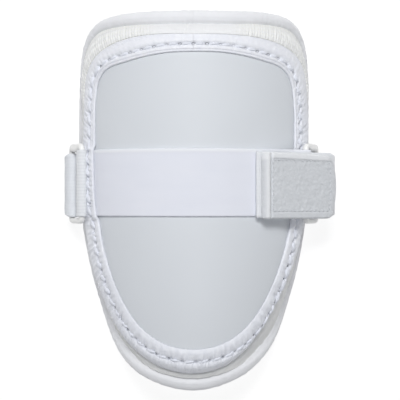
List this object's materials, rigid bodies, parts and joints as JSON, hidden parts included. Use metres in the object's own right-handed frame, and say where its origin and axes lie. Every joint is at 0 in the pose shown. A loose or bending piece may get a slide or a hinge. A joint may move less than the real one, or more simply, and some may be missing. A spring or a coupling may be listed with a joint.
{
  "type": "baseball elbow guard",
  "caption": "Arched hard-plate elbow guard with a bound edge, a foam pad with a rolled rim, and a strap that runs round the arm and closes on the front.",
  "frame": {"origin": "on the resting surface, under the middle of the part's box", "axes": "+Y towards the wide end, +Z away from the arm, +X towards the strap's tab"},
  "size_m": [0.1534, 0.2088, 0.0558],
  "materials": {
    "plate": "smooth satin, faintly glossy",
    "binding": "fine-grained synthetic leather with a sewn edge",
    "pad": "white knit over foam",
    "rim": "smooth stretch fabric over a foam roll",
    "band": "close loop-faced elastic",
    "ring": "moulded plastic",
    "webbing": "ribbed elastic webbing",
    "tab": "short hooked pile with a sewn hem"
  },
  "bodies": {
    "root": {"shell_plate": "plate", "edge_binding": "binding", "pad_body": "pad", "pad_rim": "rim", "front_band": "band", "ring_left": "ring", "ring_right": "ring", "anchor_left": "webbing", "rear_strap": "webbing", "hook_tab": "tab"}
  },
  "joints": []
}
